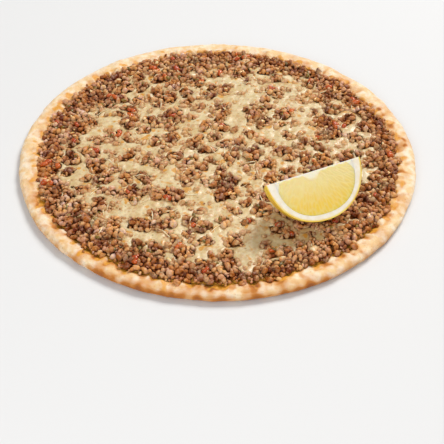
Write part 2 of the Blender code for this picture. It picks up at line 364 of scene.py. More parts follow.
def patches_group():
    """Soft patches: a mask that goes from 0 to 1 as the noise passes from Low to High."""
    inputs = {"Scale": 100.0, "Detail": 2.0, "Low": 0.45, "High": 0.60, "Layer": 0.0}
    group = Group("soft_patches", "ShaderNodeTree", inputs, "Mask", "Float")
    given = group.given
    cloud = group.noise(group.object_place(), given["Scale"], given["Detail"], given["Layer"])
    return group.ended(group.eased(cloud, given["Low"], given["High"]))


def grain_group():
    """Two sizes of bumps as one height."""
    inputs = {"Coarse scale": 400.0, "Fine scale": 1500.0, "Fine share": 0.4}
    group = Group("surface_grain", "ShaderNodeTree", inputs, "Height", "Float")
    place, given = group.object_place(), group.given
    fine = group.times(group.noise(place, given["Fine scale"], 2.0), given["Fine share"])
    return group.ended(group.plus(group.noise(place, given["Coarse scale"], 3.0), fine))


def moisture_group():
    """Roughness that goes from dry to wet in small spots."""
    inputs = {"Dry": 0.6, "Wet": 0.3, "Scale": 300.0}
    group = Group("moist_spots", "ShaderNodeTree", inputs, "Roughness", "Float")
    cloud = group.noise(group.object_place(), group.given["Scale"], 2.0)
    spread = group.add("ShaderNodeMapRange", {
        "Value": cloud, "From Min": 0.40, "From Max": 0.62,
        "To Min": group.given["Dry"], "To Max": group.given["Wet"]})
    return group.ended(spread.outputs[0])


PATCHES = patches_group()
GRAIN = grain_group()
MOISTURE = moisture_group()
SOFTNESS = ("Subsurface Weight", "Subsurface Scale", "Subsurface Radius")
COATING = ("Coat Weight", "Coat Roughness")


class Look(Nodes):
    """A material. Its even values are set on its shader's own sockets."""

    def __init__(self, name, soft=(), coat=(), gleam=None):
        self.material = bpy.data.materials.new(name)
        self.material.use_nodes = True
        super().__init__(self.material.node_tree)
        self.shader = self.tree.nodes["Principled BSDF"].inputs
        for label, value in (*zip(SOFTNESS, soft), *zip(COATING, coat)):
            self.shader[label].default_value = value
        if gleam is not None:
            self.shader["Specular IOR Level"].default_value = gleam

    def mark(self, name):
        """A value that the piece stores at each of its points."""
        return self.add("ShaderNodeAttribute", attribute_name=name).outputs["Fac"]

    def blend(self, share, first, second, kind="MIX"):
        """A mix of two colours."""
        inputs = {0: share, 6: first, 7: second}
        made = self.add("ShaderNodeMix", inputs, data_type="RGBA", blend_type=kind, clamp_factor=True)
        return made.outputs[2]

    def patches(self, scale, low, high, detail, layer):
        inputs = {"Scale": scale, "Low": low, "High": high, "Detail": detail, "Layer": layer}
        return self.add("ShaderNodeGroup", inputs, node_tree=PATCHES).outputs[0]

    def grain(self, coarse, fine, share):
        inputs = {"Coarse scale": coarse, "Fine scale": fine, "Fine share": share}
        return self.add("ShaderNodeGroup", inputs, node_tree=GRAIN).outputs[0]

    def moisture(self, dry, wet, scale):
        inputs = {"Dry": dry, "Wet": wet, "Scale": scale}
        return self.add("ShaderNodeGroup", inputs, node_tree=MOISTURE).outputs[0]

    def done(self, colour, roughness, height=None, distance=0.0, strength=0.0):
        """The whole material, with its colour, its roughness and its bumps."""
        self.plug(colour, self.shader["Base Color"])
        self.plug(roughness, self.shader["Roughness"])
        if height is not None:
            bump = self.add("ShaderNodeBump", {"Height": height, "Distance": distance, "Strength": strength})
            self.plug(bump.outputs["Normal"], self.shader["Normal"])
        return self.material


# Finishes

def dough_finish():
    """Pale baked dough: cream with golden patches, browner low on its edge, oily near the meat. Part of the
    browning is painted shade: more on the front side of the rim, in the dips and dimples, and along the
    meat's edge.
    """
    look = Look("baked_dough", (0.10, 0.002, (1.0, 0.6, 0.35)))
    toast, oil = look.mark("toast"), look.mark("oil")
    mottle = look.patches(190.0, 0.38, 0.66, 4.0, 1.0)
    cream = look.blend(mottle, screen(238, 201, 148), screen(248, 229, 201))
    # The toast mark holds both real browning and painted shade, so the golden and brown here are partly
    # painted shade.
    golden = look.blend(look.times(toast, 1.6, clamp=True), cream, screen(206, 129, 48))
    brown_share = look.times(look.minus(toast, 0.5), 1.9, clamp=True)
    baked = look.blend(brown_share, golden, screen(156, 88, 36))
    specks = look.times(look.patches(900.0, 0.64, 0.74, 1.0, 2.0), 0.40)
    speckled = look.blend(specks, baked, screen(176, 108, 54))
    stained = look.blend(oil, speckled, screen(226, 156, 50))
    # Dark olive brown along the meat's edge: oil soaked into the dough, and a painted shadow in the join.
    soaked = look.blend(look.mark("soaked"), stained, screen(146, 104, 28))
    roughness = look.plus(look.times(oil, -0.42), 0.78)
    return look.done(soaked, roughness, look.grain(520.0, 1900.0, 0.5), 0.0005, 0.9)


def mince_finish():
    """Cooked mince: brown crumbs that differ from one another, moist with fat, with painted shade that
    darkens them where they lie low between others.
    """
    look = Look("cooked_mince", (0.16, 0.0014, (1.0, 0.35, 0.12)), (0.0, 0.24), 0.1)
    dark, rosy = screen(107, 43, 2), screen(238, 198, 162)
    deep = look.mark("deep")
    # Less coat where the painted shade lies.
    look.plug(look.times(look.minus(1.0, deep), 0.24), look.shader["Coat Weight"])
    ramp = look.add("ShaderNodeValToRGB", {"Fac": look.mark("tint")})
    stops = ramp.color_ramp.elements
    stops[0].color = dark
    stops[1].color = rosy
    for place, colour in ((0.34, screen(179, 107, 46)), (0.72, screen(218, 157, 105))):
        stops.new(place).color = colour
    fibre = look.times(look.patches(480.0, 0.42, 0.66, 3.0, 3.0), 0.32)
    marbled = look.blend(fibre, ramp.outputs["Color"], rosy)
    # Dark spots that paint the shade of small pits on the crumbs.
    pit_shade = look.times(look.patches(640.0, 0.54, 0.68, 2.0, 4.0), 0.40)
    pit_shaded = look.blend(pit_shade, marbled, dark)
    rosier = look.blend(1.0, pit_shaded, (0.97, 1.0, 1.28, 1.0), "MULTIPLY")
    oilier = look.blend(1.0, pit_shaded, (1.04, 0.94, 0.60, 1.0), "MULTIPLY")
    mixed = look.blend(look.patches(170.0, 0.40, 0.60, 2.0, 15.0), rosier, oilier)
    # Painted shade: crumbs turn dark red brown where they lie low between others.
    shaded = look.blend(look.times(deep, 0.88), mixed, screen(98, 32, 1))
    smears = look.plus(look.times(look.patches(420.0, 0.40, 0.58, 2.0, 13.0), 0.75), 0.25)
    coated = look.blend(look.times(look.mark("coated"), smears), shaded, screen(224, 190, 140))
    return look.done(coated, look.moisture(0.58, 0.28, 500.0), look.grain(600.0, 1800.0, 0.3), 0.0010, 0.55)


def paste_finish():
    """The fine mince between the crumbs, its dark brown partly painted shade of the gaps, with yellow oil
    where it meets the crust.
    """
    look = Look("mince_paste", (), (0.05, 0.24), 0.15)
    mottle = look.patches(700.0, 0.38, 0.64, 3.0, 12.0)
    # Dark brown: partly the mince's own colour, partly painted shade in the gaps between crumbs.
    brown = look.blend(mottle, screen(72, 28, 2), screen(134, 74, 26))
    veiled = look.blend(look.mark("veiled"), brown, screen(184, 136, 82))
    oily = look.blend(mottle, screen(138, 94, 26), screen(212, 152, 52))
    colour = look.blend(look.mark("oil"), veiled, oily)
    return look.done(colour, 0.45, look.grain(700.0, 2200.0, 0.5), 0.0008, 0.9)


def cheese_finish():
    """Melted cheese: pale straw, browner where it lies thin over meat, with small golden spots of oil."""
    look = Look("melted_cheese", (0.25, 0.0014, (1.0, 0.75, 0.40)), (0.20, 0.26))
    mottle = look.patches(100.0, 0.36, 0.66, 3.0, 5.0)
    straw = look.blend(mottle, screen(207, 181, 130), screen(223, 204, 162))
    veiled = look.blend(look.times(look.mark("thin"), 0.78), straw, screen(190, 144, 94))
    spots = look.times(look.patches(150.0, 0.61, 0.67, 1.0, 6.0), 0.90)
    golden = look.blend(spots, veiled, screen(208, 146, 52))
    flecks = look.times(look.patches(480.0, 0.67, 0.73, 1.0, 7.0), 0.6)
    flecked = look.blend(flecks, golden, screen(122, 98, 42))
    return look.done(flecked, look.moisture(0.50, 0.28, 260.0), look.grain(320.0, 1100.0, 0.3), 0.0007, 0.65)


def strand_finish():
    """Strands of cheese that were drawn out thin: paler than the melted net, partly as drawn cheese is and
    partly painted light that lifts the shade they catch over the gaps.
    """
    look = Look("cheese_strands", (0.3, 0.0006, (1.0, 0.85, 0.6)))
    mottle = look.patches(300.0, 0.40, 0.62, 2.0, 14.0)
    # Paler cream than the net: partly painted light.
    return look.done(look.blend(mottle, screen(228, 200, 152), screen(242, 226, 190)), 0.30)


def bit_finish(name, first, second, roughness):
    """A moist diced vegetable or leaf, each piece a little different."""
    look = Look(name, (0.25, 0.001), (0.22, 0.18))
    mottle = look.patches(700.0, 0.40, 0.62, 2.0, 8.0)
    share = look.plus(look.times(look.mark("tint"), 0.7), look.times(mottle, 0.3))
    damp = look.moisture(roughness, 0.6 * roughness, 600.0)
    return look.done(look.blend(share, first, second), damp, look.grain(900.0, 2400.0, 0.4), 0.0002, 0.6)


def peel_finish():
    """Lemon peel: waxy yellow zest with pores outside, soft white pith on the cut."""
    look = Look("lemon_peel", (0.20, 0.003, (1.0, 0.85, 0.4)))
    zest = look.mark("zest")
    mottle = look.patches(90.0, 0.35, 0.65, 3.0, 9.0)
    yellow = look.blend(mottle, screen(236, 190, 48), screen(249, 218, 88))
    soft = look.patches(260.0, 0.35, 0.65, 3.0, 10.0)
    white = look.blend(soft, screen(246, 233, 208), screen(252, 243, 226))
    roughness = look.plus(look.times(zest, -0.22), 0.60)
    pores = look.add("ShaderNodeTexVoronoi", {"Vector": look.object_place(), "Scale": 780.0},
                     feature="SMOOTH_F1")
    dimpled = look.times(pores.outputs["Distance"], look.minus(1.0, look.mark("cut")))
    height = look.plus(dimpled, look.times(look.grain(700.0, 2400.0, 0.4), 0.25))
    return look.done(look.blend(zest, white, yellow), roughness, height, 0.0006, 0.5)


def flesh_finish():
    """Lemon flesh: wet, clear juice sacs between pale walls, and the white core along the ridge."""
    look = Look("lemon_flesh", (0.55, 0.004, (1.0, 0.8, 0.28)), (0.5, 0.12))
    juice = look.blend(look.mark("depth"), screen(246, 224, 152), screen(246, 207, 83))
    walls = look.times(look.minus(1.0, look.mark("sac")), 0.30)
    walled = look.blend(walls, juice, screen(252, 236, 182))
    colour = look.blend(look.mark("core"), walled, screen(251, 241, 220))
    return look.done(colour, 0.26, look.grain(500.0, 1700.0, 0.4), 0.0002, 0.5)


# Dough

def rim_profile():
    """The bread's half section from the middle of its top, round its rim, to the middle of its underside."""
    inside = [(r, DOUGH_FLOOR) for r in np.linspace(0.0, 0.1320, 9)]
    slope = [(0.1350, 0.0042), (0.1356, 0.0054), (0.1368, 0.0058), (0.1392, 0.0066), (0.1415, 0.0072),
             (0.1436, 0.00735), (0.1456, 0.0071), (0.1474, 0.0065), (0.1488, 0.0056), (0.1496, 0.0045),
             (0.1497, 0.0034), (0.1492, 0.0022), (0.1482, 0.0013), (0.1466, 0.0006), (0.1436, 0.0)]
    under = [(r, 0.0) for r in np.linspace(0.1400, 0.0, 8)]
    return inside + rounded(slope, 4) + under


def rounded(points, parts):
    """A smooth curve through the points, each stretch cut into equal parts."""
    found = []
    ends = [points[0]] + list(points) + [points[-1]]
    for before, start, end, after in zip(ends, ends[1:], ends[2:], ends[3:]):
        before, start, end, after = (np.array(p) for p in (before, start, end, after))
        for step in range(parts):
            t = step / parts
            found.append(tuple(0.5 * (
                2 * start + (end - before) * t + (2 * before - 5 * start + 4 * end - after) * t * t
                + (3 * start - before - 3 * end + after) * t ** 3)))
    return found + [points[-1]]


def turned_section(profile, steps):
    """The section turned round the upright axis, as points and faces."""
    angles = np.linspace(0.0, math.tau, steps, endpoint=False)
    radius, height = np.array(profile).T
    points = np.stack([np.outer(np.cos(angles), radius), np.outer(np.sin(angles), radius),
                       np.tile(height, (steps, 1))], axis=2).reshape(-1, 3)
    count = len(profile)
    here = np.arange(steps)[:, None] * count + np.arange(count - 1)[None, :]
    beside = (here + count) % (steps * count)
    return points, np.stack([here, here + 1, beside + 1, beside], axis=2).reshape(-1, 4)


def dough_tree():
    """Lays the turned section on the solid, and raises puffs, crimps and wrinkles on its rim."""
    group = GeometryGroup("risen_dough", {
        "Turned section": "Geometry", "Solid": "Object", "Rim radius": 0.1, "Rim start": 0.1,
        "Puff height": 0.0, "Puff length": 0.01, "Crimp height": 0.0, "Crimp length": 0.01,
        "Wrinkle height": 0.0, "Wrinkle length": 0.004, "Lap reach": 0.0, "Lap rise": 0.0,
        "Layer": 0.0}, "Dough")
    given, times, plus, vector = group.given, group.times, group.plus, group.vector
    place = group.place()
    solid = group.add("GeometryNodeObjectInfo", {"Object": given["Solid"]})
    near = group.add("GeometryNodeProximity", {0: solid.outputs["Geometry"]}, target_element="FACES")
    laid = group.moved(given["Turned section"], Position=near.outputs["Position"])
    even = group.add("GeometryNodeBlurAttribute", {"Iterations": 3}, data_type="FLOAT_VECTOR")
    group.plug(place, [i for i in even.inputs if i.type == "VECTOR"][0])
    eased = group.moved(laid, Position=[o for o in even.outputs if o.type == "VECTOR"][0])

    flat = vector("MULTIPLY", place, (1.0, 1.0, 0.0))
    radius, outward = vector("LENGTH", flat), vector("NORMALIZE", flat)
    around = vector("SCALE", outward, given["Rim radius"])
    radial = vector("ADD", around, group.upright(times(radius, 0.3)))
    start = given["Rim start"]
    height = group.add("ShaderNodeSeparateXYZ", {0: place}).outputs["Z"]
    upper = times(group.eased(radius, start, plus(start, 0.003)), group.eased(height, 0.0004, 0.0030))
    inner = times(upper, group.eased(radius, 0.1475, 0.1390))

    def swelling(kind, where, layer):
        """Waves of the length and height that the group is given for one kind."""
        waves = group.waves(where, given[f"{kind} length"], plus(given["Layer"], layer))
        return times(waves, given[f"{kind} height"])

    puffs, wrinkles = swelling("Puff", place, 0.0), swelling("Wrinkle", place, 7.0)
    crimps = swelling("Crimp", radial, 3.0)
    raised = plus(times(plus(puffs, wrinkles), upper), times(crimps, inner))
    away = vector("SCALE", group.normal(), raised)
    past_wall = group.eased(radius, start, plus(start, 0.0012))
    on_inside = group.eased(radius, 0.1435, 0.1380)
    lap = times(group.stored("lap"), times(past_wall, on_inside))
    inward = vector("SCALE", outward, times(times(lap, -1.0), given["Lap reach"]))
    lapped = vector("ADD", inward, group.upright(times(lap, given["Lap rise"])))
    return group.dressed(group.moved(eased, Offset=vector("ADD", away, lapped)))


def with_tree(piece, tree, values):
    """Runs a geometry group on a piece with the named inputs, and keeps the plain mesh that it makes."""
    names = {item.name: item.identifier for item in tree.interface.items_tree if item.item_type == "SOCKET"}
    modifier = piece.modifiers.new(tree.name, "NODES")
    modifier.node_group = tree
    for label, value in values.items():
        modifier[names[label]] = value
    graph = bpy.context.evaluated_depsgraph_get()
    mesh = bpy.data.meshes.new_from_object(piece.evaluated_get(graph))
    piece.modifiers.remove(modifier)
    piece.data = mesh
    mesh.name = piece.name
    mesh.shade_smooth()


def make_dough(finish):
    points, faces = turned_section(rim_profile(), RIM_STEPS)
    piece = mesh_piece("flatbread_dough", points, faces, finish)
    tidy_shell(piece)
    x, y, _ = vertex_places(piece).T
    store(piece, "lap", np.clip(-edge_wave(x, y), 0.0, 1.0))
    with_tree(piece, dough_tree(), {
        "Solid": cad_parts["flatbread"], "Rim radius": BREAD_RADIUS, "Rim start": RIM_START,
        "Puff height": 0.0020, "Puff length": 0.015, "Crimp height": 0.0044, "Crimp length": 0.0085,
        "Wrinkle height": 0.0008, "Wrinkle length": 0.0034, "Lap reach": EDGE_LAP, "Lap rise": 0.0011,
        "Layer": 2.5, "Finish": finish})
    drop(piece, "lap")
    mark_baking(piece)
    return piece


def mark_baking(piece):
    """Where the dough is toasted and where oil soaks into it, with painted shade mixed in: more browning on
    the front side, in the dips and dimples, and a dark band along the meat's edge.
    """
    x, y, z = vertex_places(piece).T
    radius = np.hypot(x, y)
    span = np.maximum(radius, 0.01)
    out = radius - visible_edge(x, y)
    large, small = lumps(x, y, 0.015, 21), lumps(x, y, 0.0060, 22)
    bins = np.clip(((radius - 0.130) / 0.0005).astype(int), 0, LEVEL_BINS - 1)
    upper = z > 0.0038
    many = np.maximum(np.bincount(bins[upper], minlength=LEVEL_BINS), 1)
    level = np.bincount(bins[upper], z[upper], LEVEL_BINS) / many
    # dip marks points that lie below the rim's mean height at their radius. The toast it adds is painted
    # shade in these hollows, and the oil it adds pools there.
    dip_shade_and_oil = smooth(level[bins] - z, -0.0001, 0.0007) * upper * smooth(out, -0.0005, 0.001)
    # The front masks paint shade: the side that faces the camera is browned more, standing in for the shade
    # on that side.
    toward_front_shade, foremost_shade = smooth(-y / span, 0.2, 0.9), smooth(-y / span, 0.68, 0.98)
    to_back, to_right = smooth((y - 0.8 * x) / span, 0.3, 0.9), smooth(x / span, 0.1, 0.8)
    # Browning low on the rim is real. Its higher and stronger reach on the front side is painted shade.
    brim = 0.0056 + 0.0020 * toward_front_shade + 0.0007 * small + 0.0005 * large
    low_side_toast_and_shade = smooth(brim - z, 0.0, 0.0036) * smooth(radius, 0.1436, 0.1470) * (0.24 + 0.42 * foremost_shade)
    near = 1.0 - smooth(out, 0.0030, 0.0110)
    patch = smooth(large + 0.55 * small, -0.10, 0.90)
    under = smooth(0.0006 - z, 0.0, 0.0006)
    toast = ((0.14 + 0.40 * near) * patch + (0.18 + 0.32 * near) * dip_shade_and_oil) * (1.0 - 0.60 * to_back)
    toast += (0.84 + 0.40 * large + 0.24 * small) * low_side_toast_and_shade + 0.6 * under + 0.10 * small
    # More painted shade: extra browning in patches on the front side.
    toast += 0.13 * toward_front_shade * smooth(large + 0.5 * small, -0.8, 0.3)
    # dimple is noise, not relief. Its browning is partly toast and partly painted shade of dimples, stronger
    # on the right side.
    dimple_toast_and_shade = smooth(lumps(x, y, 0.0080, 28) + 0.35 * small, 0.20, 0.70) * (1.0 - smooth(out, 0.005, 0.011))
    toast += (0.25 + 0.40 * to_right) * dimple_toast_and_shade
    reach = 0.0018 + 0.0072 * smooth(lumps(x, y, 0.0085, 23) + 0.45 * small, -0.10, 0.75)
    reach += 0.0011 * lumps(x, y, 0.0028, 36) + 0.0008 * to_back
    oil = smooth(reach - out, -0.0006, 0.0024) * (0.45 + 0.65 * smooth(small, -0.5, 0.5) + 0.3 * dip_shade_and_oil)
    oil *= 1.0 + 0.25 * to_back
    store(piece, "toast", np.clip(toast, 0.0, 1.0))
    store(piece, "oil", np.clip(oil, 0.0, 0.92))
    # A narrow band at the meat's edge: oil soak and a painted shadow of the join.
    store(piece, "soaked", 0.75 * smooth(0.0008 + 0.0016 * small - out, -0.0005, 0.0007))


# Plan of the toppings

def filling_edge():
    """The radius of the filling all round, read from its solid."""
    tree = ray_tree(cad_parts["mince"])
    angles = np.linspace(-math.pi, math.pi, 721)
    radii = []
    for angle in angles:
        away = Vector((math.cos(angle), math.sin(angle), 0.0))
        hit = tree.ray_cast(2.0 * BREAD_RADIUS * away + Vector((0.0, 0.0, EDGE_LEVEL)), -away)[0]
        radii.append(hit.xy.length)
    return angles, np.array(radii)


EDGE_ANGLES, EDGE_RADII = filling_edge()


def core_edge(x, y):
    """The solid filling's radius in the direction of each point."""
    return np.interp(np.arctan2(y, x), EDGE_ANGLES, EDGE_RADII)


def edge_wave(x, y):
    """Where crumbs spill over the dough, up to 1, and where the dough laps over the filling, down to -1."""
    reach = np.maximum(np.hypot(x, y), 1e-6) / BREAD_RADIUS
    x, y = x / reach, y / reach
    return np.clip(1.2 * lumps(x, y, 0.0130, 24) + 0.8 * lumps(x, y, 0.0052, 25), -1.0, 1.0)


def visible_edge(x, y):
    """The radius at which the filling's edge shows, in the direction of each point."""
    wave = edge_wave(x, y)
    return core_edge(x, y) + EDGE_SPILL * np.clip(wave, 0.0, 1.0) - EDGE_LAP * np.clip(-wave, 0.0, 1.0)


def blurred(field, sigma):
    """A plan field spread evenly over the given distance."""
    reach = int(3.0 * sigma / GRID_STEP) + 1
    steps = np.arange(-reach, reach + 1) * GRID_STEP
    weights = np.exp(-0.5 * (steps / sigma) ** 2)
    weights /= weights.sum()
    for axis in (0, 1):
        field = np.apply_along_axis(np.convolve, axis, field, weights, "same")
    return field


class Plan:
    """The toppings' heights and masks on a square grid over the bread."""

    def __init__(self):
        self.side = np.arange(-PLAN_REACH, PLAN_REACH + 0.5 * GRID_STEP, GRID_STEP)
        self.x, self.y = x, y = np.meshgrid(self.side, self.side, indexing="ij")
        self.radius = np.hypot(x, y)
        self.edge = visible_edge(x, y)
        past_core = self.radius - core_edge(x, y)
        tree = ray_tree(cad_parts["cheese"])
        starts = (Vector((a, b, ABOVE_ALL)) for a, b in zip(x.flat, y.flat))
        hits = [tree.ray_cast(start, DOWN)[0] is not None for start in starts]
        spread = blurred(np.array(hits, float).reshape(x.shape), MELT_SOFTNESS)
        ragged = 0.30 * lumps(x, y, 0.0064, 1) + 0.26 * lumps(x, y, 0.0031, 2)
        ragged += 0.30 * lumps(x, y, 0.0110, 26)
        bent = [side + 0.0034 * lumps(x, y, 0.0090, layer) for side, layer in ((x, 17), (y, 18))]
        gap, number = cells(bent[0] / ISLAND_SIZE, bent[1] / ISLAND_SIZE, 29)
        vein = 1.0 - smooth(gap, 0.08, 0.48)
        front_right = smooth((x - y) / np.maximum(self.radius, 0.01), 0.6, 1.3)
        outer = smooth(self.radius - 0.008 * front_right, 0.112, 0.137)
        self.melt = 1.15 * spread - 0.93 + 1.05 * vein + ragged
        self.melt += 0.14 * smooth(0.036 - self.radius, 0.0, 0.016)
        self.melt -= 0.82 * (1.0 - vein) * smooth(number, 0.22, 0.36) + 1.15 * outer
        self.bed = BED_UNDER_MEAT - (BED_UNDER_MEAT - BED_UNDER_CHEESE) * smooth(self.melt, -0.6, 0.4)
        self.bed -= 0.0012 * smooth(past_core, -0.0040, 0.0006)
        self.bed += 0.0010 * smooth(past_core, 0.0004, 0.0034)
        self.level = self.bed + CHEESE_DEPTH * smooth(self.melt, -0.55, 0.40)
        self.level += 0.00050 * lumps(x, y, 0.0100, 11) + 0.00040 * lumps(x, y, 0.0045, 12)
        self.level += 0.00012 * lumps(x, y, 0.0024, 20)
        self.meat = self.bed.copy()
        self.veiled = self.bed.copy()

    def at(self, field, x, y):
        """A field's value at a place, between the grid's points."""
        u, v = (np.clip((np.asarray(c) + PLAN_REACH) / GRID_STEP, 0, len(self.side) - 1.001) for c in (x, y))
        i, j = u.astype(int), v.astype(int)
        a, b = u - i, v - j
        return ((1 - a) * (1 - b) * field[i, j] + a * (1 - b) * field[i + 1, j]
                + (1 - a) * b * field[i, j + 1] + a * b * field[i + 1, j + 1])

    def heap(self, field, x, y, z, radius):
        """Raises a field to the round top of one crumb."""
        first = [max(0, int((c - radius + PLAN_REACH) / GRID_STEP)) for c in (x, y)]
        last = [min(len(self.side), int((c + radius + PLAN_REACH) / GRID_STEP) + 2) for c in (x, y)]
        part = (slice(first[0], last[0]), slice(first[1], last[1]))
        away = ((self.x[part] - x) ** 2 + (self.y[part] - y) ** 2) / radius ** 2
        top = z + 0.85 * radius * np.sqrt(np.clip(1.0 - away, 0.0, 1.0))
        field[part] = np.where(away < 1.0, np.maximum(field[part], top), field[part])


class Crumbs:
    """Round spots that are laid one by one where they fit."""

    def __init__(self):
        self.cells = {}
        self.rows = []

    def fits(self, x, y, radius, squeeze):
        i, j = int(x // CRUMB_CELL), int(y // CRUMB_CELL)
        for a in range(i - 2, i + 3):
            for b in range(j - 2, j + 3):
                for other in self.cells.get((a, b), ()):
                    room = squeeze * (radius + other[2])
                    if (x - other[0]) ** 2 + (y - other[1]) ** 2 < room * room:
                        return False
        return True

    def add(self, x, y, radius):
        self.cells.setdefault((int(x // CRUMB_CELL), int(y // CRUMB_CELL)), []).append((x, y, radius))
        self.rows.append((x, y, radius))

    def lay(self, dice, tries, sizes, squeeze):
        """Tries seeded places over the filling, the largest crumbs first."""
        low, high = sizes
        radii = np.sort(low + (high - low) * dice.beta(1.6, 1.9, tries))[::-1]
        reach = EDGE_RADII.max() + EDGE_SPILL
        places = dice.uniform(-reach, reach, (tries, 2))
        inside = np.hypot(*places.T) < visible_edge(*places.T) + 0.15 * radii
        for (x, y), radius, good in zip(places, radii, inside):
            if good and self.fits(x, y, radius, squeeze):
                self.add(x, y, radius)


def place_crumbs(plan, dice):
    """All crumbs as rows of x, y, z, radius and whether cheese covers them, heaped up on the plan."""
    crumbs = Crumbs()
    crumbs.lay(dice, COARSE_TRIES, COARSE_CRUMB, CRUMB_SQUEEZE)
    crumbs.lay(dice, FINE_TRIES, FINE_CRUMB, FINE_SQUEEZE)
    x, y, radius = np.array(crumbs.rows).T
    melt, bed, level = (plan.at(field, x, y) for field in (plan.melt, plan.bed, plan.level))
    count = len(x)
    rise, heaped = dice.uniform(0.20, 0.70, count), lumps(x, y, 0.0085, 13)
    rise *= 1.0 + 0.9 * (radius < FINE_CRUMB[1])
    cover = melt - 0.90 * lumps(x, y, 0.0056, 14) - 0.50 * lumps(x, y, 0.0120, 15)
    cover += dice.uniform(-0.3, 0.3, count) - 0.22
    hidden = cover > 0.10
    z = bed + radius * rise + 0.0013 * smooth(heaped, -0.2, 0.8) * smooth(-melt, -0.3, 0.6)
    z += ISLAND_RISE * smooth(-melt, -0.2, 0.4) * smooth(0.118 - np.hypot(x, y), 0.0, 0.012)
    showing = 0.0006 * (1.0 - smooth(cover, 0.1, 0.8))
    sunk = level + 0.0003 + showing - dice.uniform(0.0, 0.0011, count) - 0.85 * radius
    risen = level + dice.uniform(-0.4, 0.25, count) * radius
    z = np.where(hidden, sunk, np.where(melt > -0.1, np.maximum(z, risen), z))
    z = np.minimum(z, CRUMB_CEILING - 0.95 * radius)
    rows = list(zip(x, y, z, radius, hidden))
    for row in rows:
        plan.heap(plan.meat, *row[:4])
        if row[4]:
            plan.heap(plan.veiled, *row[:4])
    upper = Crumbs()
    upper.lay(dice, UPPER_TRIES, UPPER_CRUMB, 1.0)
    for x, y, radius in upper.rows:
        clear = float(plan.at(plan.edge, x, y)) - math.hypot(x, y)
        piled = float(lumps(x, y, 0.0085, 13)) + 0.5 * float(lumps(x, y, 0.0040, 16))
        if float(plan.at(plan.melt, x, y)) < -0.15 and clear > 0.002 and piled > -0.35:
            z = min(float(plan.at(plan.meat, x, y)) + 0.10 * radius, CRUMB_CEILING - 0.95 * radius)
            rows.append((x, y, z, radius, False))
            plan.heap(plan.meat, x, y, z, radius)
    return rows


def strays(dough, dice):
    """Crumbs that have rolled onto the crust."""
    tree = ray_tree(dough)
    rows = []
    turns, outs = dice.uniform(-math.pi, math.pi, STRAY_COUNT), dice.gamma(1.3, 0.0009, STRAY_COUNT)
    for angle, out, radius in zip(turns, outs, dice.uniform(*FINE_CRUMB, STRAY_COUNT)):
        away = float(visible_edge(math.cos(angle), math.sin(angle))) + 0.0008 + min(out, 0.006)
        x, y = away * math.cos(angle), away * math.sin(angle)
        ground = tree.ray_cast(Vector((x, y, ABOVE_ALL)), DOWN)[0]
        rows.append((x, y, ground.z + 0.55 * radius, radius, False))
    return rows


# Shapes to scatter

def shape_room(kind, pick):
    """A collection of small shapes. Each is a ball that a newly picked rule reshapes, point by point."""
    room = bpy.data.collections.new(kind)
    for number in range(SHAPES_PER_KIND):
        bm = bmesh.new()
        bmesh.ops.create_icosphere(bm, subdivisions=2, radius=1.0)
        reshape = pick()
        for vertex in bm.verts:
            reshape(vertex)
        mesh = bpy.data.meshes.new(f"{kind}_{number:02d}")
        bm.to_mesh(mesh)
        bm.free()
        mesh.shade_smooth()
        room.objects.link(bpy.data.objects.new(mesh.name, mesh))
    return room


def crumb_shapes(kind, dice):
    """Knobbly crumbs of unit size."""
    def pick():
        knobs = dice.normal(size=(CRUMB_KNOBS, 3))
        knobs /= np.linalg.norm(knobs, axis=1)[:, None]
        heights = dice.uniform(-0.62, 0.52, CRUMB_KNOBS)

        def reshape(vertex):
            away = np.array(vertex.co.normalized())
            swell = sum(h * math.exp(-(1.0 - float(away @ k)) / 0.11) for k, h in zip(knobs, heights))
            vertex.co *= 0.95 + swell
        return reshape
    return shape_room(kind, pick)


def cut_shapes(kind, dice, length, width, height):
    """Rough dice or flakes of unit size, with rounded corners."""
    def pick():
        curl = dice.uniform(-0.35, 0.35, 2)

        def reshape(vertex):
            vertex.co *= 0.45 + 0.40 / max(abs(c) for c in vertex.co)
            vertex.co += Vector(dice.uniform(-0.09, 0.09, 3))
            vertex.co.x *= length
            vertex.co.y *= width
            bow = curl[0] * vertex.co.x ** 2 + curl[1] * vertex.co.y
            vertex.co.z = vertex.co.z * height + bow * (1.0 - height)
        return reshape
    return shape_room(kind, pick)


def scatter_tree():
    """Puts a shape on each spot with the spot's own turn and size, and wrinkles them all."""
    group = GeometryGroup("scattered_crumbs", {
        "Spots": "Geometry", "Shapes": "Collection", "Wrinkle depth": 0.0, "Wrinkle length": 0.002,
        "Layer": 0.0}, "Crumbs")
    given = group.given
    shapes = group.add("GeometryNodeCollectionInfo", {
        "Collection": given["Shapes"], "Separate Children": True, "Reset Children": True})
    turn = group.add("FunctionNodeEulerToRotation", {0: group.stored("turn", "FLOAT_VECTOR")})
    laid = group.add("GeometryNodeInstanceOnPoints", {
        "Points": given["Spots"], "Instance": shapes.outputs[0], "Pick Instance": True,
        "Instance Index": group.stored("shape", "INT"), "Rotation": turn.outputs[0],
        "Scale": group.stored("spread", "FLOAT_VECTOR")})
    waves = group.waves(group.place(), given["Wrinkle length"], given["Layer"])
    away = group.vector("SCALE", group.normal(), group.times(waves, given["Wrinkle depth"]))
    return group.dressed(group.moved(group.realized(laid), Offset=away))


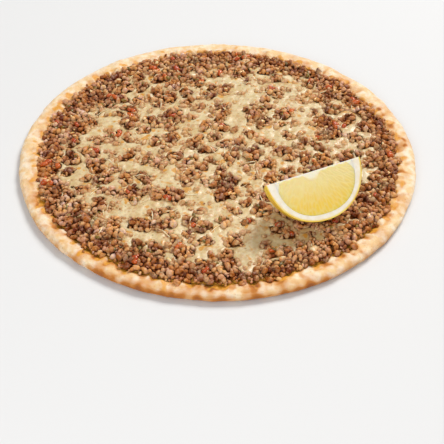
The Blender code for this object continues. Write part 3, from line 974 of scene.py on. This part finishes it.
def scattered_piece(name, spots, shapes, tree, dice, finish, wrinkle, flat=(0.66, 1.02), lean=0.9):
    """One piece with a shape on each spot: rows of x, y, z, radius and tint."""
    spots = np.array(spots, float)
    count = len(spots)
    piece = mesh_piece(name, spots[:, :3], [], finish)
    store(piece, "turn", dice.uniform(-1.0, 1.0, (count, 3)) * (lean, lean, math.pi), "FLOAT_VECTOR")
    long_side = dice.uniform(1.0, 1.26, count)
    sides = np.stack([long_side, 0.96 / long_side, dice.uniform(*flat, count)], axis=1)
    store(piece, "spread", spots[:, 3:4] * sides, "FLOAT_VECTOR")
    store(piece, "shape", dice.integers(0, SHAPES_PER_KIND, count), "INT")
    store(piece, "tint", spots[:, 4])
    with_tree(piece, tree, {"Shapes": shapes, "Wrinkle depth": wrinkle, "Wrinkle length": 0.0021,
                            "Layer": 1.5, "Finish": finish})
    drop(piece, "turn", "spread", "shape")
    return piece


# Minced meat

def make_core(plan, finish):
    """The mass of fine mince under and between the crumbs."""
    angles = np.linspace(-math.pi, math.pi, CORE_STEPS, endpoint=False)
    rings = np.linspace(0.0, 1.0, CORE_RINGS + 1)[1:] ** 0.85
    radius = np.outer(np.interp(angles, EDGE_ANGLES, EDGE_RADII), rings)
    x, y = radius * np.cos(angles)[:, None], radius * np.sin(angles)[:, None]
    relief = 0.00050 * lumps(x, y, 0.0034, 31) + 0.00035 * lumps(x, y, 0.0017, 32)
    upper = np.stack([x, y, plan.at(plan.bed, x, y) + relief], axis=2).reshape(-1, 3)
    lower = np.stack([x[:, -1], y[:, -1], np.full(CORE_STEPS, CORE_BOTTOM)], axis=1)
    middle_top, middle_low = len(upper) + CORE_STEPS, len(upper) + CORE_STEPS + 1
    points = np.vstack([upper, lower, [(0.0, 0.0, plan.at(plan.bed, 0.0, 0.0)), (0.0, 0.0, CORE_BOTTOM)]])
    faces = []
    for step in range(CORE_STEPS):
        after = (step + 1) % CORE_STEPS
        here, there = step * CORE_RINGS, after * CORE_RINGS
        faces.append((middle_top, here, there))
        faces += [(here + k, here + k + 1, there + k + 1, there + k) for k in range(CORE_RINGS - 1)]
        foot, next_foot = len(upper) + step, len(upper) + after
        faces.append((here + CORE_RINGS - 1, foot, next_foot, there + CORE_RINGS - 1))
        faces.append((foot, middle_low, next_foot))
    piece = mesh_piece("mince_core", points, faces, finish)
    tidy_shell(piece)
    x, y, _ = vertex_places(piece).T
    inward = core_edge(x, y) - np.hypot(x, y)
    store(piece, "oil", smooth(0.0034 - inward, 0.0, 0.0026))
    store(piece, "veiled", 0.8 * smooth(plan.at(plan.melt, x, y), -0.9, -0.2))
    return piece


def crumb_tint(x, y, dice):
    """A crumb's own shade, 0 dark to 1 rosy, partly shared with the crumbs near it."""
    shared = 0.58 * float(lumps(x, y, 0.0130, 27)) + 0.38 * float(lumps(x, y, 0.0060, 35))
    return min(1.0, max(0.0, 0.25 + 0.36 * float(dice.uniform()) + shared))


def mark_depth(piece, plan):
    """Painted shade where points of the crumbs lie low between their neighbours and in wider hollows, less
    near the cheese, and where cheese smears the crumbs.
    """
    x, y, z = vertex_places(piece).T
    # Painted shade from each point's depth below the blurred mince top and from wider hollows.
    deep = smooth(plan.at(plan.crown, x, y) - z, -0.0007, 0.0020)
    deep += (1.0 - deep) * 0.45 * smooth(plan.at(plan.hill - plan.crown, x, y), 0.0, 0.0007)
    deep *= 1.0 - 0.40 * smooth(plan.at(plan.melt, x, y), -0.5, 0.2)
    near = plan.at(plan.melt, x, y) + 0.55 * lumps(x, y, 0.0034, 19)
    smeared = 0.60 * smooth(lumps(x, y, 0.0090, 33) + 0.5 * lumps(x, y, 0.0035, 34), 0.12, 0.70)
    store(piece, "deep", deep)
    store(piece, "coated", np.maximum(0.88 * smooth(near, -0.75, 0.34), smeared) * (1.0 - 0.6 * deep))


def make_mince(plan, rows, tree, dice):
    """The mince's pieces: its core, and its crumbs in four sizes."""
    finish = mince_finish()
    shapes = crumb_shapes("crumb", dice)
    pieces = [make_core(plan, paste_finish())]
    for kind, low, high in CRUMB_KINDS:
        own = [(x, y, z, radius, crumb_tint(x, y, dice)) for x, y, z, radius, hidden in rows
               if low <= radius < high and not hidden]
        wrinkle = min(high, MOST_WRINKLE)
        piece = scattered_piece(f"mince_crumbs_{kind}", own, shapes, tree, dice, finish, wrinkle)
        mark_depth(piece, plan)
        pieces.append(piece)
    return pieces


# Melted cheese

def make_cheese(plan, finish):
    """A melted net that fills the low places, hangs over the crumbs beside it and thins out at its edges."""
    hung = blurred(plan.veiled, 0.0009) + CHEESE_FILM
    top = CHEESE_EASE * np.logaddexp(plan.level / CHEESE_EASE, hung / CHEESE_EASE)
    thin = 1.0 - smooth(top - plan.meat, -0.0002, 0.0008)
    kept = (plan.melt > -0.42) & (top > plan.bed + 0.0004) & (plan.radius < plan.edge - 0.004)
    squares = kept[:-1, :-1] & kept[1:, :-1] & kept[:-1, 1:] & kept[1:, 1:]
    for _ in range(4):
        slash = squares[:-1, :-1] & squares[1:, 1:] & ~squares[1:, :-1] & ~squares[:-1, 1:]
        back = squares[1:, :-1] & squares[:-1, 1:] & ~squares[:-1, :-1] & ~squares[1:, 1:]
        fill = slash | back
        for a in (0, 1):
            for b in (0, 1):
                squares[a:a + fill.shape[0], b:b + fill.shape[1]] |= fill
    i, j = np.nonzero(squares)
    width = len(plan.side)
    corners = np.stack([(i + a) * width + j + b for a, b in ((0, 0), (1, 0), (1, 1), (0, 1))], axis=1)
    used, flat = np.unique(corners, return_inverse=True)
    flat = flat.reshape(-1, 4)
    count = len(used)
    upper = np.stack([plan.x.flat[used], plan.y.flat[used], top.flat[used]], axis=1)
    lower = upper - (0.0, 0.0, CHEESE_SHELL)
    around = np.concatenate([flat[:, [k, (k + 1) % 4]] for k in range(4)]).astype(np.int64)
    keys = around[:, 0] * count + around[:, 1]
    mirrored = around[:, 1] * count + around[:, 0]
    rim = around[~np.isin(keys, mirrored)]
    sides = np.stack([rim[:, 1], rim[:, 0], rim[:, 0] + count, rim[:, 1] + count], axis=1)
    faces = np.vstack([flat, flat[:, ::-1] + count, sides])
    piece = mesh_piece("melted_cheese", np.vstack([upper, lower]), faces, finish)
    store(piece, "thin", np.tile(thin.flat[used], 2))
    return piece, np.where(kept, top, 0.0)


def strand_tree():
    """Draws a round, tapering strand of cheese along each line."""
    group = GeometryGroup("drawn_strands", {"Lines": "Geometry", "Thickness": 0.0005, "Sides": 6}, "Strands")
    given = group.given
    curves = group.add("GeometryNodeMeshToCurve", {"Mesh": given["Lines"]})
    ring = group.add("GeometryNodeCurvePrimitiveCircle", {
        "Resolution": given["Sides"], "Radius": given["Thickness"]})
    drawn = group.add("GeometryNodeCurveToMesh", {
        "Curve": curves.outputs[0], "Profile Curve": ring.outputs[0], "Fill Caps": True,
        "Scale": group.stored("taper")})
    return group.dressed(group.realized(drawn))


def make_strands(plan, top, dice, finish):
    """Thin strands that run from the cheese over the islands of mince."""
    points, lines, taper = [], [], []
    cover = np.maximum(plan.crown, top)
    share = np.linspace(0.0, 1.0, STRAND_STEPS)
    for _ in range(STRAND_COUNT * 6):
        if len(lines) >= STRAND_COUNT * (STRAND_STEPS - 1):
            break
        angle, away = dice.uniform(0.0, math.tau), 0.118 * math.sqrt(dice.uniform())
        length, heading = dice.uniform(0.005, 0.012), dice.uniform(0.0, math.tau)
        turns = heading + dice.uniform(-60.0, 60.0) * length * share
        x = away * math.cos(angle) + np.cumsum(np.cos(turns)) * length / STRAND_STEPS
        y = away * math.sin(angle) + np.cumsum(np.sin(turns)) * length / STRAND_STEPS
        melt = plan.at(plan.melt, x, y)
        if abs(melt[0]) > 0.5 or melt.min() > -0.3 or np.hypot(x, y).max() > 0.124:
            continue
        height = np.convolve(np.pad(plan.at(cover, x, y), 1, "edge"), (0.25, 0.5, 0.25), "valid") + 0.0002
        lines += [(len(points) + k, len(points) + k + 1) for k in range(STRAND_STEPS - 1)]
        points += list(zip(x, y, height))
        taper += list(dice.uniform(0.55, 1.25) * (
            0.25 + 0.75 * np.sin(math.pi * np.clip(share, 0.06, 0.94)) ** 0.5))
    piece = mesh_piece("cheese_strands", points, [], finish, lines)
    store(piece, "taper", taper)
    with_tree(piece, strand_tree(), {"Thickness": STRAND_RADIUS, "Sides": 6, "Finish": finish})
    tidy_shell(piece)
    return piece


# Bits among the mince

def place_bits(plan, top, dice, sites, extra, sizes, per_site):
    """Bits at the given sites and at seeded ones among the mince, resting on what lies there."""
    middles = list(sites)
    while len(middles) < len(sites) + extra:
        angle, away = dice.uniform(0.0, math.tau), 0.130 * math.sqrt(dice.uniform())
        x, y = away * math.cos(angle), away * math.sin(angle)
        if float(plan.at(plan.melt, x, y)) < dice.uniform(-0.6, 0.5):
            middles.append((x, y))
    rows = []
    for number, middle in enumerate(middles):
        count = int(dice.integers(*per_site)) if number < len(sites) else 1
        for _ in range(count):
            radius = float(dice.uniform(*sizes))
            x, y = (c + (count > 1) * float(dice.normal()) * SITE_SPREAD for c in middle)
            outside = math.hypot(x, y) > float(plan.at(plan.edge, x, y)) - 0.0015
            if outside or float(plan.at(plan.melt, x, y)) > 0.2:
                continue
            ground = max(float(plan.at(plan.meat, x, y)), float(plan.at(top, x, y)))
            z = min(ground - 0.15 * radius, CRUMB_CEILING - 0.8 * radius)
            rows.append((x, y, z, radius, float(dice.uniform())))
            plan.heap(plan.meat, x, y, z, 0.8 * radius)
    return rows


def make_bits(plan, top, tree, dice):
    """Diced red pepper, onion and flecks of parsley."""
    pepper = bit_finish("red_pepper", screen(170, 60, 12), screen(220, 112, 42), 0.35)
    parsley = bit_finish("parsley", screen(90, 70, 6), screen(146, 116, 36), 0.50)
    onion = bit_finish("onion", screen(226, 160, 82), screen(240, 214, 160), 0.35)
    kinds = (
        ("pepper_bits", pepper, PEPPER_SITES, 34, (0.0015, 0.0030), (3, 6), (1.15, 0.9, 0.75)),
        ("parsley_bits", parsley, PARSLEY_SITES, 110, (0.0011, 0.0025), (1, 4), (1.15, 0.85, 0.45)),
        ("onion_bits", onion, (), 130, (0.0011, 0.0020), (1, 2), (1.2, 0.9, 0.60)))
    pieces = []
    for name, finish, sites, extra, sizes, per_site, form in kinds:
        rows = place_bits(plan, top, dice, sites, extra, sizes, per_site)
        shapes = cut_shapes(name, dice, *form)
        pieces.append(scattered_piece(name, rows, shapes, tree, dice, finish, 0.0003, (0.9, 1.1), 0.45))
    return pieces


# Lemon wedge

def lemon_radius(along):
    """The lemon's outer radius at a distance along its axis from its middle."""
    share = np.clip(np.abs(along) / LEMON_HALF_LENGTH, 0.0, 1.0)
    return LEMON_RADIUS * np.clip(1.0 - share ** LEMON_FULLNESS, 0.0, 1.0) ** (1.0 / LEMON_FULLNESS)


def flesh_radius(along):
    """The radius of the flesh, which ends in a blunt round before the peel's ends."""
    share = np.clip(np.abs(along - FLESH_MIDDLE) / FLESH_HALF, 0.0, 1.0)
    round_off = np.clip(1.0 - share ** FLESH_FULLNESS, 0.0, 1.0) ** (1.0 / FLESH_FULLNESS)
    return (LEMON_RADIUS - PITH) * round_off


def corner_pith(along, depth):
    """1 where the pith rounds off the flesh's two corners beside the ridge, 0 in the flesh."""
    share = np.abs(along - FLESH_MIDDLE) / FLESH_HALF
    rounding = np.where(along < FLESH_MIDDLE, *CORNER_ROUNDING)
    cut = rounding * np.clip(1.0 - depth / CORNER_DEPTH, 0.0, 1.0) ** 2.0
    return smooth(share ** FLESH_FULLNESS + cut, 0.97, 1.01)


def in_place(along, radius, turn):
    """Points of the wedge where it lies: turn goes from the near cut face to the far one."""
    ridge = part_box("lemon_wedge")[1].z
    axis = np.array([math.cos(LEMON_TURN), math.sin(LEMON_TURN), 0.0])
    side = np.array([math.sin(LEMON_TURN), -math.cos(LEMON_TURN), 0.0])
    fall = FACE_TILT + turn
    points = np.array([*LEMON_PLACE, ridge]) + along[..., None] * axis
    points = points + (radius * np.cos(fall))[..., None] * side
    return points - (radius * np.sin(fall))[..., None] * np.array([0.0, 0.0, 1.0])


def lofted_piece(name, rings, finish, reach, marks):
    """A closed piece through a row of rings of one size, with marks at its points and sharp cut edges."""
    rings = np.array(rings)
    rows, count = rings.shape[:2]
    here = np.arange(rows - 1)[:, None] * count + np.arange(count)[None, :]
    after = np.arange(rows - 1)[:, None] * count + (np.arange(count) + 1)[None, :] % count
    sides = np.stack([here, after, after + count, here + count], axis=2).reshape(-1, 4)
    ends = [range(count)[::-1], range((rows - 1) * count, rows * count)]
    piece = mesh_piece(name, rings.reshape(-1, 3), [*sides, *ends], finish)
    for mark, values in marks.items():
        store(piece, mark, np.concatenate(values))
    tidy_shell(piece, reach)
    piece.data.set_sharp_from_angle(angle=CUT_EDGE_ANGLE)
    return piece


def make_peel(finish):
    """The wedge's shell of zest and pith, cut clean along both faces."""
    half = 0.5 * math.pi * np.linspace(-1.0, 1.0, LEMON_STATIONS)
    along = LEMON_HALF_LENGTH * np.sign(half) * np.abs(np.sin(half)) ** 0.98
    outer, inner = lemon_radius(along), flesh_radius(along)
    slant = np.hypot(1.0, np.gradient(outer, along))
    turn, band = np.linspace(0.0, 1.0, ZEST_STEPS), np.linspace(0.0, 1.0, PITH_STEPS + 2)[1:-1]
    turns = WEDGE_ANGLE * np.concatenate([turn, np.ones(PITH_STEPS), turn[::-1], np.zeros(PITH_STEPS)])
    on_zest = np.arange(len(turns)) < ZEST_STEPS
    rings, zest = [], []
    for x, far, near, lean in zip(along, outer, inner, slant):
        near = min(near, 0.96 * far)
        tip = LEMON_TIP * abs(x / LEMON_HALF_LENGTH) ** 14 * math.copysign(1.0, x)
        radii = np.concatenate([np.full(ZEST_STEPS, far), far + (near - far) * band,
                                np.full(ZEST_STEPS, near), near + (far - near) * band])
        rings.append(in_place(np.full(len(radii), x + tip), radii, turns))
        zest.append(np.where(on_zest, 1.0, 1.0 - smooth((far - radii) / lean, *ZEST)))
    cut = [np.where(on_zest, 0.0, 1.0)] * len(rings)
    return lofted_piece("lemon_peel", rings, finish, 2e-5, {"zest": zest, "cut": cut})


def sac_pattern(along, depth, layer):
    """Juice sacs that fan out from the core: 0 on their walls, 1 in their middles, and each one's swell."""
    centre_x, centre_up = -0.002, 0.010
    away = np.hypot(along - centre_x, depth + centre_up)
    angle = np.arctan2(along - centre_x, depth + centre_up)
    gap, swell = cells(angle * 0.028 / 0.0019, away / 0.0075, layer)
    return smooth(gap, 0.02, 0.45), swell


def make_flesh(finish):
    """The wedge of juice sacs inside the peel, with the white core along its ridge."""
    share = np.sin(0.5 * math.pi * np.linspace(-1.0, 1.0, FLESH_STATIONS))
    along = FLESH_MIDDLE + (FLESH_HALF + FLESH_LAP) * share
    reaches = flesh_radius(FLESH_MIDDLE + FLESH_HALF * share) + 0.5 * FLESH_LAP
    steps, arc = np.linspace(0.0, 1.0, FLESH_STEPS), np.linspace(0.0, 1.0, 24)[1:-1]
    depths = flesh_radius(along)[:, None] * steps
    near_face, far_face = (sac_pattern(along[:, None], depths, layer) for layer in (51, 52))

    def round_ring(near, outside, far):
        """One ring's values: out along the near face, over the outside and back along the far face."""
        return np.concatenate([near, outside, far[:0:-1]])

    ones, rest = np.ones(FLESH_STEPS), np.zeros(len(arc))
    even_turns = WEDGE_ANGLE * round_ring(0.0 * ones, arc, ones)
    outward = round_ring(-ones, rest, ones)
    rings, sac, core, depth = [], [], [], []
    for x, reach, near_sac, far_sac, near_swell, far_swell in zip(
            along, reaches, near_face[0], far_face[0], near_face[1], far_face[1]):
        radii = round_ring(reach * steps, np.full(len(arc), reach), reach * steps)
        pattern = round_ring(near_sac, rest + 1.0, far_sac)
        swell = round_ring(near_swell, rest, far_swell)
        lift = (0.00012 * pattern - 0.00012 + 0.00008 * (swell - 0.5)) * smooth(radii, 0.0008, 0.003)
        flush = np.maximum(corner_pith(x, radii), smooth(radii, reach - 0.0014, reach - 0.0003))
        lift = (lift * (1.0 - flush) + 0.00003 * flush) * np.abs(outward)
        turns = even_turns + outward * lift / np.maximum(radii, 0.0015)
        rings.append(in_place(np.full(len(radii), x), radii, turns))
        strand = 0.0011 + 0.0050 * math.exp(-((x + 0.002) / 0.0050) ** 2)
        strand += 0.0004 * math.sin(900.0 * x)
        white = 1.0 - smooth(radii, 0.5 * strand, 1.25 * strand)
        core.append(np.maximum(white, corner_pith(x, radii)))
        sac.append(pattern)
        depth.append(smooth(radii, 0.004, 0.026))
    return lofted_piece("lemon_flesh", rings, finish, 1e-5, {"sac": sac, "core": core, "depth": depth})


# Setting

def pale_floor():
    mesh = bpy.data.meshes.new("pale_floor")
    corners = ((-FLOOR_REACH, -FLOOR_REACH), (FLOOR_REACH, -FLOOR_REACH), (FLOOR_REACH, FLOOR_REACH),
               (-FLOOR_REACH, FLOOR_REACH))
    mesh.from_pydata([(x, y, FLOOR_LEVEL) for x, y in corners], [], [(0, 1, 2, 3)])
    mesh.materials.append(Look("pale_card").done(FLOOR_TONE, 0.8))
    floor = bpy.data.objects.new("pale_floor", mesh)
    bpy.context.scene.collection.objects.link(floor)


def area_light(name, place, size, power, colour):
    """A round lamp that looks at the origin."""
    data = bpy.data.lights.new(name, "AREA")
    data.shape = "DISK"
    data.size = size
    data.energy = power
    data.color = colour
    lamp = bpy.data.objects.new(name, data)
    lamp.location = place
    lamp.rotation_euler = (-Vector(place)).to_track_quat("-Z", "Y").to_euler()
    bpy.context.scene.collection.objects.link(lamp)


def studio_light():
    world = bpy.data.worlds.new("studio")
    world.use_nodes = True
    backdrop = world.node_tree.nodes["Background"].inputs
    backdrop["Color"].default_value = (1.0, 1.0, 1.0, 1.0)
    backdrop["Strength"].default_value = SKY_STRENGTH
    bpy.context.scene.world = world
    area_light("key", (1.10, 1.50, 2.10), 1.40, 66.0, (1.0, 0.98, 0.94))
    area_light("fill", (-0.45, -1.15, 0.85), 1.2, 10.0, (1.0, 0.99, 0.97))


def photo_camera():
    """The photograph's camera, which looks down on the bread from the front."""
    forward = Vector((0.0, math.cos(CAMERA_RISE), -math.sin(CAMERA_RISE)))
    upward = Vector((0.0, math.sin(CAMERA_RISE), math.cos(CAMERA_RISE)))
    sideways = Vector((1.0, 0.0, 0.0))
    place = Vector(CAMERA_TARGET) - CAMERA_DISTANCE * forward - CAMERA_DROP * upward
    data = bpy.data.cameras.new("camera")
    data.sensor_width = 36.0
    data.lens = CAMERA_LENS
    camera = bpy.data.objects.new("camera", data)
    axes = Matrix((sideways, upward, -forward)).transposed().to_4x4()
    camera.matrix_world = Matrix.Translation(place) @ axes @ Matrix.Rotation(CAMERA_ROLL, 4, "Z")
    bpy.context.scene.collection.objects.link(camera)
    bpy.context.scene.camera = camera


def dress():
    dice = np.random.default_rng(SEED)
    plan = Plan()
    dough = make_dough(dough_finish())
    rows = place_crumbs(plan, dice) + strays(dough, dice)
    plan.crown, plan.hill = blurred(plan.meat, 0.0016), blurred(plan.meat, 0.0055)
    cheese, top = make_cheese(plan, cheese_finish())
    tree = scatter_tree()
    mince = make_mince(plan, rows, tree, dice) + make_bits(plan, top, tree, dice)
    strands = make_strands(plan, top, dice, strand_finish())
    lemon = [make_peel(peel_finish()), make_flesh(flesh_finish())]
    for node, slot, pieces in (("flatbread", "dough", [dough]), ("mince", "mince", mince),
                               ("cheese", "cheese", [cheese, strands]), ("lemon_wedge", "lemon", lemon)):
        for piece in pieces:
            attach(piece, "root")
            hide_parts(node)


pale_floor()
studio_light()
photo_camera()
dress()
bpy.context.scene.view_settings.view_transform = "Standard"
